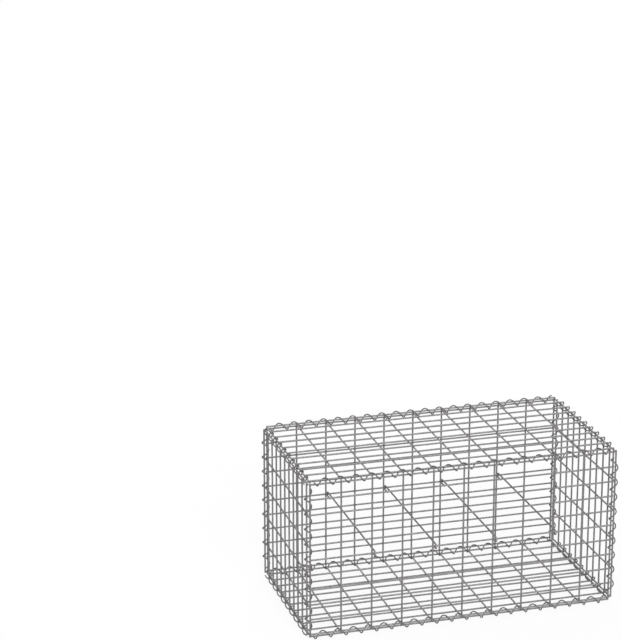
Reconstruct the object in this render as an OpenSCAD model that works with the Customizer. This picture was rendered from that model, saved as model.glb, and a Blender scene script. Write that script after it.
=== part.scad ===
/* [Basket] */
// Length between the outermost mesh wires
basket_l = 1000; // [500:100:2000]
// Width between the outermost mesh wires
basket_w = 500; // [300:50:1000]
// Height between the outermost mesh wires
basket_h = 500; // [300:100:1000]

/* [Welded mesh] */
// Diameter of the mesh wire
wire_d = 5.5; // [4:0.5:6]
// Nominal spacing of the line wires, which lie on the outside
line_pitch = 50; // [50:5:75]
// Nominal spacing of the cross wires, which lie on the inside
cross_pitch = 100; // [100:10:150]
// How far two wires sink into each other at a weld
weld_bite = 1.6; // [0.6:0.1:1.8]
// Clearance between the wires of neighbouring panels
panel_gap = 0.9; // [0.3:0.1:2]

/* [Spiral binders] */
// Diameter of the spiral wire
spiral_wire_d = 4; // [3:0.5:4.5]
// Clearance between a spiral and the wires that it wraps
spiral_seat = 0.2; // [0.1:0.1:0.5]
// Distance that each corner or end spiral stops short of the basket's corners
spiral_end_gap = 14; // [13:1:25]
// Distance that each long spiral stops short of the basket's corners
long_end_gap = 4; // [3:1:25]

/* [Ties] */
// Diameter of the tie wire
tie_wire_d = 5.5; // [3:0.5:6]
// Radius of a tie's hook, at the middle of the wire
tie_hook_r = 7; // [6:0.5:10]
// Length of the straight tail that returns from each hook
tie_tail = 25; // [10:1:40]
// Distance from a cross wire to the tie beside it
tie_offset = 8; // [6:0.5:12]
// Clearance between a tie and the line wire that it hangs on
tie_seat = 0.3; // [0.1:0.1:0.5]

/* [Hidden] */

zinc = [0.60, 0.60, 0.61];
spiral_zinc = [0.52, 0.52, 0.53];
tie_zinc = [0.56, 0.56, 0.57];

// Sides of a mesh wire, and of a spiral's wire
wire_sides = 8;
strand_sides = 6;
// Stations in one turn of a spiral
spiral_rings = 8;
// Facets round a tie's wire
tie_facets = 24;
tie_total = 4;

// Whole numbers of mesh bays, so that every panel ends on an edge wire
mesh_ratio = max(1, round(cross_pitch / line_pitch));
long_bays = round(basket_l / cross_pitch);
high_bays = round(basket_h / cross_pitch);
wide_lines = round(basket_w / line_pitch);
high_lines = high_bays * mesh_ratio;
long_bay = basket_l / long_bays;
high_bay = basket_h / high_bays;
wide_line = basket_w / wide_lines;
high_line = basket_h / high_lines;

// Half the wire's diameter lies at its flats, and its corners stand out a little
wire_r = wire_d / 2;
wire_corner_r = wire_r / cos(180 / wire_sides);
strand_r = spiral_wire_d / 2;
tie_r = tie_wire_d / 2;

// Distance between the two layers of a mesh
stack = wire_d - weld_bite;
// How far the line wires lie outside the neighbouring panels' edge wires
side_out = wire_d + panel_gap;
flat_out = stack + wire_d + panel_gap;

// A spiral's axis lies this far from the edge wire that it bears on
spiral_reach = norm([side_out, flat_out]) / 2;
// Stations of a spiral line up with its two edge wires, and the straight stretches clear their shoulders
spiral_r = (spiral_reach + wire_corner_r + spiral_seat + strand_r) / cos(90 / spiral_rings);

// Lowest point of a long spiral's skin below its axis
long_wire_turn = atan2(flat_out, side_out);
long_pitch = long_bay / mesh_ratio;
spiral_drop = max([
    for (k = [1:spiral_rings], j = [1:strand_sides])
        strand_point(long_pitch, 0, long_wire_turn + k * 360 / spiral_rings, j * 360 / strand_sides)[1]
]);

// Heights of the lowest and highest horizontal wires of the sides
low_z = flat_out / 2 + spiral_drop;
high_z = low_z + basket_h;

// Turn of each spiral, in degrees, where it passes a mesh wire at the edge's start
front_bottom_turn = 130;
front_top_turn = 85;
back_bottom_turn = 240;
back_top_turn = 125;
left_front_turn = 145;
left_back_turn = 125;
right_front_turn = 15;
right_back_turn = 10;
left_bottom_turn = 45;
left_top_turn = 120;
right_bottom_turn = 130;
right_top_turn = 50;

// Height of the line wire that carries the ties, and of the ties' long leg
tie_wire_z = low_z + high_line * floor(high_lines / 2);
tie_z = tie_wire_z + wire_r + tie_seat + tie_r;
// Each hook bends round the line wire, straight above its middle
tie_bend_y = basket_w / 2 + side_out;

// A straight mesh wire along X, centred, with flats to the front, back, top and bottom
module mesh_wire(length) {
    rotate([0, 90, 0])
        rotate([0, 0, 180 / wire_sides])
            cylinder(h = length, r = wire_corner_r, center = true, $fn = wire_sides);
}

// A welded panel, outside face up: line wires along X, and cross wires along Y below them
module mesh_panel(line_l, cross_l, line_count, cross_count) {
    union() {
        for (i = [0:line_count])
            translate([0, cross_l * (i / line_count - 0.5), 0])
                mesh_wire(line_l + wire_d);
        for (i = [0:cross_count])
            translate([line_l * (i / cross_count - 0.5), 0, -stack])
                rotate([0, 0, 90])
                    mesh_wire(cross_l + wire_d);
    }
}

module flat_panel() {
    mesh_panel(basket_l, basket_w, wide_lines, long_bays);
}

module side_panel() {
    mesh_panel(basket_l, basket_h, high_lines, long_bays);
}

module end_panel() {
    mesh_panel(basket_h, basket_w, wide_lines, high_bays);
}

module base_panel() {
    color(zinc)
        translate([0, 0, low_z - flat_out])
            rotate([180, 0, 0])
                flat_panel();
}

module lid_panel() {
    color(zinc)
        translate([0, 0, high_z + flat_out])
            flat_panel();
}

module front_panel() {
    color(zinc)
        translate([0, -basket_w / 2 - side_out, (low_z + high_z) / 2])
            rotate([90, 0, 0])
                side_panel();
}

module back_panel() {
    color(zinc)
        translate([0, basket_w / 2 + side_out, (low_z + high_z) / 2])
            rotate([-90, 0, 0])
                side_panel();
}

module left_end_panel() {
    color(zinc)
        translate([-basket_l / 2 - flat_out, 0, (low_z + high_z) / 2])
            rotate([0, -90, 0])
                end_panel();
}

module right_end_panel() {
    color(zinc)
        translate([basket_l / 2 + flat_out, 0, (low_z + high_z) / 2])
            rotate([0, 90, 0])
                end_panel();
}

// One point of a spiral's skin: turn is the place on the helix, roll the place round the wire
function strand_point(pitch, phase, turn, roll) =
    let (
        lead = atan2(pitch, 2 * PI * spiral_r),
        out = spiral_r + strand_r * cos(roll),
        side = strand_r * sin(roll)
    )
    [
        out * cos(turn) - side * sin(lead) * sin(turn),
        out * sin(turn) + side * sin(lead) * cos(turn),
        pitch * (turn - phase) / 360 - side * cos(lead)
    ];

// A right-handed spiral binder about Z, for an edge that runs from 0 to edge_l. The turn is phase at 0,
// and wire_turn is the direction from one edge wire to the other
module spiral(edge_l, end_gap, pitch, phase, wire_turn) {
    step = 360 / spiral_rings;
    roll_step = 360 / strand_sides;
    first = ceil((360 * end_gap / pitch + phase - wire_turn) / step);
    last = floor((360 * (edge_l - end_gap) / pitch + phase - wire_turn) / step);
    tail = (last - first) * strand_sides;
    points = [
        for (k = [first:last], j = [0:strand_sides - 1])
            strand_point(pitch, phase, wire_turn + k * step, j * roll_step)
    ];
    skin = [
        for (ring = [0:strand_sides:tail - 1], j = [0:strand_sides - 1])
            let (next = (j + 1) % strand_sides, ahead = ring + strand_sides)
            each [[ring + j, ahead + j, ahead + next], [ring + j, ahead + next, ring + next]]
    ];
    start_cap = [for (j = [0:strand_sides - 1]) j];
    end_cap = [for (j = [strand_sides - 1:-1:0]) tail + j];
    color(spiral_zinc)
        polyhedron(points = points, faces = concat([start_cap], skin, [end_cap]));
}

// The spiral's axis, on the line from the edge wire that it bears on to the other edge wire
function spiral_axis(bearing_wire, other_wire) =
    bearing_wire + spiral_reach * (other_wire - bearing_wire) / norm(other_wire - bearing_wire);

// Turn of the line from one edge wire to the other, seen along the spiral's axis
function turn_between(from_wire, to_wire) =
    atan2(to_wire[1] - from_wire[1], to_wire[0] - from_wire[0]);

// Spirals along the length: side_y is -1 at the front, side_z is -1 at the bottom
module long_spiral(side_y, side_z, phase) {
    edge_z = side_z < 0 ? low_z : high_z;
    side_wire = [side_y * (basket_w / 2 + side_out), edge_z];
    flat_wire = [side_y * basket_w / 2, edge_z + side_z * flat_out];
    axis = spiral_axis(flat_wire, side_wire);
    translate([-basket_l / 2, axis[0], axis[1]])
        rotate([90, 0, 90])
            spiral(basket_l, long_end_gap, long_pitch, phase, turn_between(flat_wire, side_wire));
}

// Spirals up the corners: side_x is -1 at the left, side_y is -1 at the front
module post_spiral(side_x, side_y, phase) {
    side_wire = [side_x * basket_l / 2, side_y * (basket_w / 2 + side_out - stack)];
    end_wire = [side_x * (basket_l / 2 + flat_out), side_y * basket_w / 2];
    axis = spiral_axis(side_wire, end_wire);
    translate([axis[0], axis[1], low_z])
        spiral(basket_h, spiral_end_gap, high_line, phase, turn_between(side_wire, end_wire));
}

// Spirals across the ends: side_x is -1 at the left, side_z is -1 at the bottom
module cross_spiral(side_x, side_z, phase) {
    edge_z = side_z < 0 ? low_z : high_z;
    flat_wire = [edge_z + side_z * (flat_out - stack), side_x * basket_l / 2];
    end_wire = [edge_z, side_x * (basket_l / 2 + flat_out - stack)];
    axis = spiral_axis(flat_wire, end_wire);
    translate([axis[1], -basket_w / 2, axis[0]])
        rotate([-90, -90, 0])
            spiral(basket_w, spiral_end_gap, wide_line, phase, turn_between(flat_wire, end_wire));
}

module spiral_front_bottom() { long_spiral(-1, -1, front_bottom_turn); }
module spiral_front_top() { long_spiral(-1, 1, front_top_turn); }
module spiral_back_bottom() { long_spiral(1, -1, back_bottom_turn); }
module spiral_back_top() { long_spiral(1, 1, back_top_turn); }
module spiral_left_front() { post_spiral(-1, -1, left_front_turn); }
module spiral_left_back() { post_spiral(-1, 1, left_back_turn); }
module spiral_right_front() { post_spiral(1, -1, right_front_turn); }
module spiral_right_back() { post_spiral(1, 1, right_back_turn); }
module spiral_left_bottom() { cross_spiral(-1, -1, left_bottom_turn); }
module spiral_left_top() { cross_spiral(-1, 1, left_top_turn); }
module spiral_right_bottom() { cross_spiral(1, -1, right_bottom_turn); }
module spiral_right_top() { cross_spiral(1, 1, right_top_turn); }

// A round tie wire along Y from y_from to y_to
module tie_leg(y_from, y_to) {
    translate([0, y_from, 0])
        rotate([-90, 0, 0])
            cylinder(h = y_to - y_from, r = tie_r, $fn = tie_facets);
}

// The back half of a tie: half the long leg, the hook round the line wire, and the tail below
module tie_half() {
    tie_leg(0, tie_bend_y);
    translate([0, tie_bend_y, -tie_hook_r])
        rotate([0, 90, 0])
            rotate_extrude(angle = 180, $fn = 2 * tie_facets)
                translate([tie_hook_r, 0])
                    circle(r = tie_r, $fn = tie_facets);
    translate([0, 0, -2 * tie_hook_r])
        tie_leg(tie_bend_y - tie_tail, tie_bend_y);
}

// A tie from the front panel to the back panel, beside the cross wire that its number picks
module tie(number) {
    cross_wire = round(number * long_bays / (tie_total + 1));
    color(tie_zinc)
        translate([-basket_l / 2 + cross_wire * long_bay + tie_offset, 0, tie_z])
            union() {
                tie_half();
                mirror([0, 1, 0]) tie_half();
            }
}

module tie_1() { tie(1); }
module tie_2() { tie(2); }
module tie_3() { tie(3); }
module tie_4() { tie(4); }

base_panel();
lid_panel();
front_panel();
back_panel();
left_end_panel();
right_end_panel();
spiral_front_bottom();
spiral_front_top();
spiral_back_bottom();
spiral_back_top();
spiral_left_front();
spiral_left_back();
spiral_right_front();
spiral_right_back();
spiral_left_bottom();
spiral_left_top();
spiral_right_bottom();
spiral_right_top();
tie_1();
tie_2();
tie_3();
tie_4();
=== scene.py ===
# Welded-mesh gabion basket: round wires with welds, spiral binders and hooked ties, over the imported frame
import math

import bpy
import numpy as np
from mathutils import Matrix, Vector

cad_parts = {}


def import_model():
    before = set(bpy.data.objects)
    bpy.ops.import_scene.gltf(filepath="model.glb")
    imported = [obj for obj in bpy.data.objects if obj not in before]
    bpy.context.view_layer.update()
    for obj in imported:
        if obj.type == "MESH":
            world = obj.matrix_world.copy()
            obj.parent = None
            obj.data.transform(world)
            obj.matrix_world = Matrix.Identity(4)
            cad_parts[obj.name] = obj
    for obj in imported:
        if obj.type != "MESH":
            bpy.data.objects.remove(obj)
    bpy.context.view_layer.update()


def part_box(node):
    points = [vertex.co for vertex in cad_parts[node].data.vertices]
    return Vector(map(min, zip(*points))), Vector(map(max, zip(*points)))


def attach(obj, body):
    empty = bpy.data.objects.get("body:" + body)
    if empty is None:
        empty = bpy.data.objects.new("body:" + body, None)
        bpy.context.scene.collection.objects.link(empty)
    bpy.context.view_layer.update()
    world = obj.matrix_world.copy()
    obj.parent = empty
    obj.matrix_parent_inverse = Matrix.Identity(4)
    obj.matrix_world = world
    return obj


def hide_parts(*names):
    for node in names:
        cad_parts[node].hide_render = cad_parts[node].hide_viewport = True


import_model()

# Axes by number, as a point's coordinates are counted
X, Y, Z = 0, 1, 2

# Sizes of the wires in metres, with the distance between the two layers of a panel
MESH_R = 0.00275
LINE_PITCH = 0.05
CROSS_PITCH = 0.1
STACK = 0.0039
SPIRAL_R = 0.002
SPIRAL_COIL_R = 0.011
SPIRAL_PITCH = 0.05
TIE_R = 0.00275
TIE_TAIL = 0.025
CUT_BEVEL = 0.0005

# Welds: reach in the panel's plane, half the thickness, the corners' extra, how sizes vary, and heat's reach
WELD_R = 0.0032
WELD_H = 0.0014
WELD_SQUEEZE = 0.18
WELD_REACHES = (0.94, 1.1)
WELD_HEIGHTS = (0.92, 1.08)
WELD_TILT = 0.47 * math.pi
WELD_HEAT = 0.006

# Each wire bows a little between its ends, but the outermost ones lie straight in their spirals
WIRE_BOW = 0.00015
BOW_LENGTH = 0.31

# Facets: sides round each wire, stations along it or in a turn, places at a crossing, and rings of a weld
MESH_SIDES = 16
SPIRAL_SIDES = 14
SPIRAL_STATIONS = 36
TIE_SIDES = 16
BEND_STATIONS = 24
STATION_GAP = 0.02
SAME_STATION = CUT_BEVEL / 4
WELD_STATIONS = (-0.008, -0.004, -0.002, 0.0, 0.002, 0.004, 0.008)
WELD_SIDES = 16
WELD_RINGS = 7

# Each panel's line-wire axis, cross-wire axis, and the axis and side that the line wires face
PANELS = {
    "base_panel": (X, Y, Z, -1),
    "lid_panel": (X, Y, Z, 1),
    "front_panel": (X, Z, Y, -1),
    "back_panel": (X, Z, Y, 1),
    "left_end_panel": (Z, Y, X, -1),
    "right_end_panel": (Z, Y, X, 1),
}

# Each spiral's axis, and its turn in degrees where it passes the edge's first mesh wire
SPIRALS = {
    "spiral_front_bottom": (X, 130),
    "spiral_front_top": (X, 85),
    "spiral_back_bottom": (X, 240),
    "spiral_back_top": (X, 125),
    "spiral_left_front": (Z, 145),
    "spiral_left_back": (Z, 125),
    "spiral_right_front": (Z, 15),
    "spiral_right_back": (Z, 10),
    "spiral_left_bottom": (Y, 45),
    "spiral_left_top": (Y, 120),
    "spiral_right_bottom": (Y, 130),
    "spiral_right_top": (Y, 50),
}
TIES = ("tie_1", "tie_2", "tie_3", "tie_4")

# Centres of the first mesh wires along each axis, where the spirals' turns are counted from
MESH_LOW = (
    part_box("front_panel")[0].x + MESH_R,
    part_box("base_panel")[0].y + MESH_R,
    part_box("front_panel")[0].z + MESH_R,
)

# Zinc finish: each pattern's scale and detail, and how far the drawn streaks are stretched along the wire
CRYSTALS = 170.0
CLOUDS = 26.0
CLOUD_DETAIL = 4.0
STREAKS = 1500.0
STREAK_DETAIL = 2.0
STREAK_STRETCH = 0.06
PORES = 1100.0
PORE_DETAIL = 3.0

# Zinc finish: shares of the patterns in the mottle, and where in it the dark and the light tone lie
CRYSTAL_SHARE = 0.45
STREAK_SHARE = 0.25
DARK_AT = 0.3
LIGHT_AT = 0.72
# Share of the marked tone: heat tint at the welds, and painted light on the ties' hooks
WORKED_OR_PAINTED_LIGHT_SHARE = 0.7

# Zinc finish: metal and gloss, roughness at two places in the mottle, and the relief in metres
METALLIC = 0.4
SPECULAR = 0.4
ROUGH_FROM = 0.25
ROUGH_TO = 0.75
ROUGH_DARK = 0.58
ROUGH_LIGHT = 0.4
RELIEF = 0.0003
RELIEF_STRENGTH = 0.35
RELIEF_STREAKS = 0.5

# Light on the set: its share from all round, and each soft lamp's share, direction and spread in degrees
AMBIENT = 0.13
KEY_LIGHT = 0.9
KEY_AZIMUTH = -11.0
KEY_ELEVATION = 31.0
KEY_SPREAD = 45.0
BACK_LIGHT = 0.4
BACK_AZIMUTH = 172.0
BACK_ELEVATION = 42.0
BACK_SPREAD = 60.0

# Floor: how much of its white a shadow can take, the grey that lights the basket from below, and its size
FLOOR_COLOUR = 0.15
BOUNCE_COLOUR = 0.2
FLOOR_R = 60.0
FLOOR_SIDES = 96
WHITE = (1.0, 1.0, 1.0, 1.0)

# Camera, from the mesh's lines in the photograph: place over the lowest mesh wires, aim and focal length
CAMERA_SPOT = Vector((-2.3508, -6.6851, 3.1586))
CAMERA_AZIMUTH = -16.064
CAMERA_ELEVATION = 17.661
CAMERA_ROLL = -0.138
FOCAL_PX = 2353.36
FRAME_PX = 640
SENSOR_MM = 36.0
CLIP_END = 200.0

# Each wire takes its patterns from another place, within this many metres
GRAIN_SPREAD = 4.0
rng = np.random.default_rng(11)


class Skin:
    """One joined mesh, with the marks that its material reads at each point."""

    def __init__(self):
        self.points = []
        self.faces = []
        self.mark = []
        self.grain = []

    def add_rings(self, rings, mark, grain):
        """Skins a row of rings, each a loop of as many points, and closes both ends."""
        first = len(self.points)
        count, sides = rings.shape[:2]
        self.points.extend(rings.reshape(-1, 3).tolist())
        self.mark.extend(np.broadcast_to(mark, (count, sides)).ravel().tolist())
        self.grain.extend(grain.reshape(-1, 3).tolist())
        for i in range(count - 1):
            here = first + i * sides
            for j in range(sides):
                k = (j + 1) % sides
                self.faces.append((here + j, here + k, here + sides + k, here + sides + j))
        last = first + (count - 1) * sides
        self.faces.append(tuple(range(first + sides - 1, first - 1, -1)))
        self.faces.append(tuple(range(last, last + sides)))

    def piece(self, name, material):
        """Makes the object, which rides on the basket and stands for the node of the same name."""
        mesh = bpy.data.meshes.new(name)
        mesh.from_pydata(self.points, [], self.faces)
        mesh.polygons.foreach_set("use_smooth", [len(face) == 4 for face in self.faces])
        mark = mesh.attributes.new("mark", "FLOAT", "POINT")
        mark.data.foreach_set("value", self.mark)
        grain = mesh.attributes.new("grain", "FLOAT_VECTOR", "POINT")
        grain.data.foreach_set("vector", np.ravel(self.grain))
        mesh.materials.append(material)
        made = bpy.data.objects.new(name + "_wire", mesh)
        bpy.context.scene.collection.objects.link(made)
        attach(made, "root")
        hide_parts(name)


def sweep(skin, path, side, radius, sides, mark=0.0):
    """A round wire along a path; side is square to the path, and mark is 1 where the wire takes the marked
    tone: heat tint at welds, painted light on the ties' hooks.
    """
    path = np.asarray(path, float)
    ahead = np.gradient(path, axis=0)
    ahead /= np.linalg.norm(ahead, axis=1, keepdims=True)
    side = np.broadcast_to(side, path.shape)
    up = np.cross(ahead, side)
    length = np.concatenate([[0.0], np.cumsum(np.linalg.norm(np.diff(path, axis=0), axis=1))])
    size = radius - np.clip(CUT_BEVEL - np.minimum(length, length[-1] - length), 0.0, None)
    turn = np.arange(sides) * 2 * math.pi / sides
    cos, sin = np.cos(turn), np.sin(turn)
    ring = side[:, None] * cos[None, :, None] + up[:, None] * sin[None, :, None]
    rings = path[:, None] + size[:, None, None] * ring
    offset = rng.uniform(0.0, GRAIN_SPREAD, 3)
    grain = np.stack(np.broadcast_arrays(length[:, None], radius * cos, radius * sin), axis=-1) + offset
    skin.add_rings(rings, np.reshape(mark, (-1, 1)), grain)


def stations(length, crossings):
    """Places along a straight wire: its bevelled ends, close together at each weld, and evenly between."""
    found = {0.0, CUT_BEVEL, length - CUT_BEVEL, length}
    for crossing in crossings:
        found.update(crossing + near for near in WELD_STATIONS)
    found = sorted(place for place in found if 0.0 <= place <= length)
    filled = [found[0]]
    for place in found[1:]:
        gap = place - filled[-1]
        if gap < SAME_STATION:
            continue
        parts = math.ceil(gap / STATION_GAP)
        filled.extend(filled[-1] + gap * np.arange(1, parts + 1) / parts)
    return np.array(filled)


def mesh_wire(skin, start, axis, length, crossings, bow):
    """A straight mesh wire from a start point, with heat marks where other wires cross it."""
    along = stations(length, crossings)
    path = np.tile(np.array(start, float), (len(along), 1))
    path[:, axis] += along
    for other in ((axis + 1) % 3, (axis + 2) % 3):
        phase = rng.uniform(0.0, 2 * math.pi)
        path[:, other] += bow * np.sin(phase + 2 * math.pi * along / BOW_LENGTH)
    nearest = np.abs(along[:, None] - np.array(crossings)[None]).min(axis=1)
    side = np.eye(3)[(axis + 1) % 3]
    sweep(skin, path, side, MESH_R, MESH_SIDES, np.exp(-((nearest / WELD_HEAT) ** 2)))


def weld_bead(skin, middle, axis_a, axis_b, axis_out):
    """The metal squeezed out between two crossing wires, widest in the four corners between them."""
    turn = np.arange(WELD_SIDES) * 2 * math.pi / WELD_SIDES
    tilt = np.linspace(-WELD_TILT, WELD_TILT, WELD_RINGS)
    reach = WELD_R * rng.uniform(*WELD_REACHES) * (1.0 + WELD_SQUEEZE * np.abs(np.sin(2 * turn)))
    thick = WELD_H * rng.uniform(*WELD_HEIGHTS)
    rings = np.tile(np.array(middle, float), (WELD_RINGS, WELD_SIDES, 1))
    rings[..., axis_a] += np.cos(tilt)[:, None] * (reach * np.cos(turn))[None]
    rings[..., axis_b] += np.cos(tilt)[:, None] * (reach * np.sin(turn))[None]
    rings[..., axis_out] += (thick * np.sin(tilt))[:, None]
    skin.add_rings(rings, 1.0, rings + rng.uniform(0.0, GRAIN_SPREAD, 3))


def bays(low, high, pitch):
    """Places of a row of wires from low to high, a whole number of bays apart."""
    return np.linspace(low, high, round((high - low) / pitch) + 1)


def panel(node, material):
    """A welded panel: line wires outside, cross wires inside, and a bead at every crossing."""
    line, cross, out, side = PANELS[node]
    low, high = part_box(node)
    line_at = bays(low[cross] + MESH_R, high[cross] - MESH_R, LINE_PITCH)
    cross_at = bays(low[line] + MESH_R, high[line] - MESH_R, CROSS_PITCH)
    outer = high[out] - MESH_R if side > 0 else low[out] + MESH_R
    inner = outer - side * STACK
    skin = Skin()
    for rows, axis, depth, place_axis, crossings in (
        (line_at, line, outer, cross, cross_at),
        (cross_at, cross, inner, line, line_at),
    ):
        length = high[axis] - low[axis]
        for number, place in enumerate(rows):
            start = [0.0, 0.0, 0.0]
            start[axis] = low[axis]
            start[place_axis] = place
            start[out] = depth
            at_edge = number in (0, len(rows) - 1)
            mesh_wire(skin, start, axis, length, crossings - low[axis], 0.0 if at_edge else WIRE_BOW)
    for line_place in line_at:
        for cross_place in cross_at:
            middle = [0.0, 0.0, 0.0]
            middle[line] = cross_place
            middle[cross] = line_place
            middle[out] = (outer + inner) / 2
            weld_bead(skin, middle, line, cross, out)
    skin.piece(node, material)


def spiral(node, material):
    """A helical binder round the wires that meet along one edge."""
    axis, turn = SPIRALS[node]
    low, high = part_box(node)
    first, second = (axis + 1) % 3, (axis + 2) % 3
    start, end = low[axis] + SPIRAL_R, high[axis] - SPIRAL_R
    count = round((end - start) / SPIRAL_PITCH * SPIRAL_STATIONS) + 1
    along = np.linspace(start, end, count)
    bevel = CUT_BEVEL * SPIRAL_PITCH / math.hypot(SPIRAL_PITCH, 2 * math.pi * SPIRAL_COIL_R)
    along = np.concatenate([[start], [start + bevel], along[1:-1], [end - bevel], [end]])
    angle = math.radians(turn) + 2 * math.pi * (along - MESH_LOW[axis]) / SPIRAL_PITCH
    path = np.zeros((len(along), 3))
    side = np.zeros((len(along), 3))
    path[:, axis] = along
    path[:, first] = (low[first] + high[first]) / 2 + SPIRAL_COIL_R * np.cos(angle)
    path[:, second] = (low[second] + high[second]) / 2 + SPIRAL_COIL_R * np.sin(angle)
    side[:, first] = np.cos(angle)
    side[:, second] = np.sin(angle)
    skin = Skin()
    sweep(skin, path, side, SPIRAL_R, SPIRAL_SIDES)
    skin.piece(node, material)


def tie(node, material):
    """A bracing wire from front to back, hooked at both ends, whose tails return under it."""
    low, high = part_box(node)
    middle = (low + high) / 2
    hook_r = (high.z - low.z) / 2 - TIE_R
    bend_y = high.y - TIE_R - hook_r
    turn = np.linspace(-math.pi / 2, math.pi / 2, BEND_STATIONS + 1)
    bend = np.stack([bend_y + hook_r * np.cos(turn), middle.z + hook_r * np.sin(turn)], axis=1)
    tail_z, leg_z = bend[0, 1], bend[-1, 1]
    tail_parts = math.ceil(TIE_TAIL / STATION_GAP)
    leg_parts = math.ceil(bend_y / STATION_GAP)
    tail = [(bend_y - TIE_TAIL, tail_z), (bend_y - TIE_TAIL + CUT_BEVEL, tail_z)]
    tail += [(bend_y - TIE_TAIL * (1 - i / tail_parts), tail_z) for i in range(1, tail_parts)]
    leg = [(bend_y * (1 - i / leg_parts), leg_z) for i in range(1, leg_parts + 1)]
    half = np.array(tail + bend.tolist() + leg)
    other = half[-2::-1] * (-1, 1)
    flat = np.concatenate([half, other])
    path = np.insert(flat, 0, middle.x, axis=1)
    # The hooks and tails take a lighter tone: painted light that lifts the shade in the bends
    hooked = (np.abs(path[:, Y]) > bend_y) | (path[:, Z] < middle.z)
    skin = Skin()
    sweep(skin, path, (1.0, 0.0, 0.0), TIE_R, TIE_SIDES, hooked.astype(float))
    skin.piece(node, material)


def add_node(tree, kind, inputs=None, **settings):
    """A shader node with its settings and inputs, where an input is a value or another node's socket."""
    made = tree.nodes.new(kind)
    for name, value in settings.items():
        setattr(made, name, value)
    for name, value in (inputs or {}).items():
        if isinstance(value, bpy.types.NodeSocket):
            tree.links.new(value, made.inputs[name])
        else:
            made.inputs[name].default_value = value
    return made


def zinc(name, dark, light, worked_or_painted_light):
    """Galvanised wire: zinc crystals, cloudy patches, drawn streaks, and marked places in another tone,
    which is heat tint at welds and painted light on the ties' hooks.
    """
    material = bpy.data.materials.new(name)
    material.use_nodes = True
    tree = material.node_tree
    shader = tree.nodes["Principled BSDF"]
    grain = add_node(tree, "ShaderNodeAttribute", attribute_name="grain").outputs["Vector"]
    mark = add_node(tree, "ShaderNodeAttribute", attribute_name="mark").outputs["Fac"]
    crystal = add_node(tree, "ShaderNodeTexVoronoi", {"Vector": grain, "Scale": CRYSTALS})
    cloud = add_node(tree, "ShaderNodeTexNoise", {"Vector": grain, "Scale": CLOUDS, "Detail": CLOUD_DETAIL})
    drawn = add_node(
        tree, "ShaderNodeVectorMath", {0: grain, 1: (STREAK_STRETCH, 1.0, 1.0)}, operation="MULTIPLY"
    )
    streak = add_node(
        tree, "ShaderNodeTexNoise",
        {"Vector": drawn.outputs[0], "Scale": STREAKS, "Detail": STREAK_DETAIL},
    )
    pores = add_node(tree, "ShaderNodeTexNoise", {"Vector": grain, "Scale": PORES, "Detail": PORE_DETAIL})
    crystal_tone = add_node(tree, "ShaderNodeRGBToBW", {0: crystal.outputs["Color"]})
    patches = add_node(
        tree, "ShaderNodeMix",
        {"Factor": CRYSTAL_SHARE, "A": cloud.outputs["Fac"], "B": crystal_tone.outputs[0]},
    )
    mottle = add_node(
        tree, "ShaderNodeMix",
        {"Factor": STREAK_SHARE, "A": patches.outputs["Result"], "B": streak.outputs["Fac"]},
    )
    tone = add_node(tree, "ShaderNodeValToRGB", {"Fac": mottle.outputs["Result"]})
    tone.color_ramp.elements[0].position = DARK_AT
    tone.color_ramp.elements[0].color = dark
    tone.color_ramp.elements[1].position = LIGHT_AT
    tone.color_ramp.elements[1].color = light
    marked = add_node(tree, "ShaderNodeMath", {0: mark, 1: WORKED_OR_PAINTED_LIGHT_SHARE}, operation="MULTIPLY")
    colour = add_node(
        tree, "ShaderNodeMix",
        {"Factor": marked.outputs[0], "A": tone.outputs["Color"], "B": worked_or_painted_light},
        data_type="RGBA",
    )
    rough = add_node(
        tree, "ShaderNodeMapRange",
        {
            "Value": mottle.outputs["Result"],
            "From Min": ROUGH_FROM,
            "From Max": ROUGH_TO,
            "To Min": ROUGH_DARK,
            "To Max": ROUGH_LIGHT,
        },
    )
    height = add_node(
        tree, "ShaderNodeMix",
        {"Factor": RELIEF_STREAKS, "A": pores.outputs["Fac"], "B": streak.outputs["Fac"]},
    )
    bump = add_node(
        tree, "ShaderNodeBump",
        {"Height": height.outputs["Result"], "Strength": RELIEF_STRENGTH, "Distance": RELIEF},
    )
    shader.inputs["Metallic"].default_value = METALLIC
    shader.inputs["Specular IOR Level"].default_value = SPECULAR
    tree.links.new(colour.outputs["Result"], shader.inputs["Base Color"])
    tree.links.new(rough.outputs["Result"], shader.inputs["Roughness"])
    tree.links.new(bump.outputs["Normal"], shader.inputs["Normal"])
    return material


def seen_white(tree):
    """1 for rays from the camera, from metal and through glass, which see the plain white set."""
    rays = add_node(tree, "ShaderNodeLightPath")
    sharp = add_node(
        tree, "ShaderNodeMath",
        {0: rays.outputs["Is Glossy Ray"], 1: rays.outputs["Is Transmission Ray"]},
        operation="MAXIMUM",
    )
    seen = add_node(
        tree, "ShaderNodeMath",
        {0: rays.outputs["Is Camera Ray"], 1: sharp.outputs[0]},
        operation="MAXIMUM",
    )
    return seen.outputs[0]


def world():
    """A plain white set that lights the basket softly from all round."""
    made = bpy.data.worlds.new("studio")
    bpy.context.scene.world = made
    made.use_nodes = True
    tree = made.node_tree
    tree.nodes.clear()
    white = add_node(tree, "ShaderNodeBackground", {"Color": WHITE, "Strength": 1.0})
    soft = add_node(tree, "ShaderNodeBackground", {"Color": WHITE, "Strength": AMBIENT})
    mixed = add_node(
        tree, "ShaderNodeMixShader", {0: seen_white(tree), 1: soft.outputs[0], 2: white.outputs[0]}
    )
    add_node(tree, "ShaderNodeOutputWorld", {"Surface": mixed.outputs[0]})


def lamp(name, share, azimuth, elevation, spread):
    """A broad soft lamp, far off, that gives a facing surface this share of its own colour."""
    data = bpy.data.lights.new(name, "SUN")
    data.energy = share * math.pi
    data.angle = math.radians(spread)
    made = bpy.data.objects.new(name, data)
    made.rotation_euler = (math.radians(90.0 - elevation), 0.0, math.radians(azimuth))
    bpy.context.scene.collection.objects.link(made)


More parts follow.
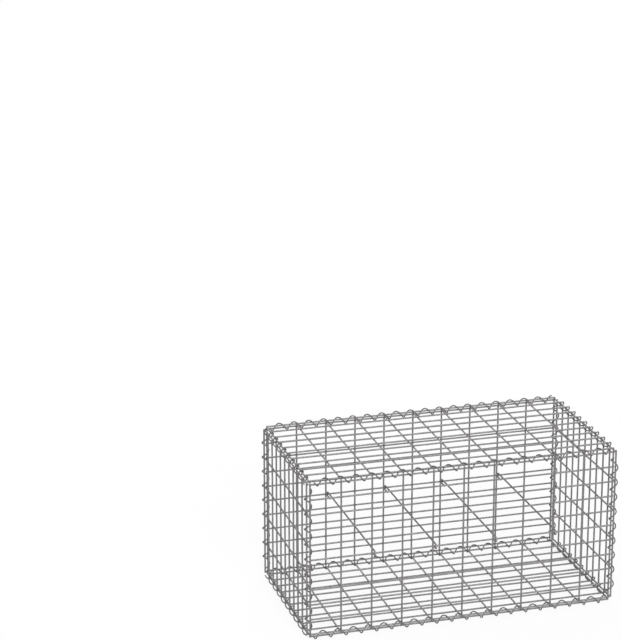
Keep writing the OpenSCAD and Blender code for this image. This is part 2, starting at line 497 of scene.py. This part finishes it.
def floor():
    """A plain white floor that still takes the basket's shadow."""
    lit = AMBIENT
    lit += KEY_LIGHT * math.sin(math.radians(KEY_ELEVATION))
    lit += BACK_LIGHT * math.sin(math.radians(BACK_ELEVATION))
    material = bpy.data.materials.new("floor")
    material.use_nodes = True
    tree = material.node_tree
    tree.nodes.clear()
    paint = add_node(tree, "ShaderNodeBsdfDiffuse", {"Color": (FLOOR_COLOUR,) * 3 + (1.0,)})
    glow = add_node(
        tree, "ShaderNodeEmission", {"Color": WHITE, "Strength": 1.0 - FLOOR_COLOUR * lit}
    )
    shown = add_node(tree, "ShaderNodeAddShader", {0: paint.outputs[0], 1: glow.outputs[0]})
    pale = add_node(tree, "ShaderNodeBsdfDiffuse", {"Color": (BOUNCE_COLOUR,) * 3 + (1.0,)})
    mixed = add_node(
        tree, "ShaderNodeMixShader", {0: seen_white(tree), 1: pale.outputs[0], 2: shown.outputs[0]}
    )
    add_node(tree, "ShaderNodeOutputMaterial", {"Surface": mixed.outputs[0]})
    bpy.ops.mesh.primitive_circle_add(vertices=FLOOR_SIDES, radius=FLOOR_R, fill_type="NGON")
    made = bpy.context.object
    made.name = "floor"
    made.data.materials.append(material)


def camera():
    """The camera that took the photograph."""
    data = bpy.data.cameras.new("camera")
    data.sensor_width = SENSOR_MM
    data.lens = FOCAL_PX * SENSOR_MM / FRAME_PX
    data.clip_end = CLIP_END
    made = bpy.data.objects.new("camera", data)
    aim = Matrix.Rotation(math.radians(CAMERA_AZIMUTH), 4, "Z")
    aim @= Matrix.Rotation(math.radians(90.0 - CAMERA_ELEVATION), 4, "X")
    aim @= Matrix.Rotation(math.radians(CAMERA_ROLL), 4, "Z")
    made.matrix_world = Matrix.Translation(CAMERA_SPOT + Vector((0.0, 0.0, MESH_LOW[Z]))) @ aim
    bpy.context.scene.collection.objects.link(made)
    bpy.context.scene.camera = made


# Colours of the wires: between dark and light, and in the marked places, which are heat tint at welds and
# painted light on the ties' hooks
mesh_zinc = zinc(
    "mesh_zinc",
    dark=(0.195, 0.187, 0.195, 1.0),
    light=(0.307, 0.295, 0.307, 1.0),
    worked_or_painted_light=(0.194, 0.186, 0.188, 1.0),
)
# The spirals are the same zinc as the mesh, painted darker: painted shade for the shade in their coils
spiral_zinc = zinc(
    "spiral_zinc",
    dark=(0.108, 0.103, 0.108, 1.0),
    light=(0.201, 0.192, 0.201, 1.0),
    worked_or_painted_light=(0.201, 0.192, 0.201, 1.0),
)
# The ties are the same zinc as the mesh, painted darker as painted shade, with a lighter tone on their hooks
# as painted light
tie_zinc = zinc(
    "tie_zinc",
    dark=(0.093, 0.09, 0.093, 1.0),
    light=(0.171, 0.164, 0.171, 1.0),
    worked_or_painted_light=(0.367, 0.352, 0.367, 1.0),
)

for name in PANELS:
    panel(name, mesh_zinc)
for name in SPIRALS:
    spiral(name, spiral_zinc)
for name in TIES:
    tie(name, tie_zinc)

world()
lamp("key", KEY_LIGHT, KEY_AZIMUTH, KEY_ELEVATION, KEY_SPREAD)
lamp("back", BACK_LIGHT, BACK_AZIMUTH, BACK_ELEVATION, BACK_SPREAD)
floor()
camera()
bpy.context.scene.view_settings.view_transform = "Standard"
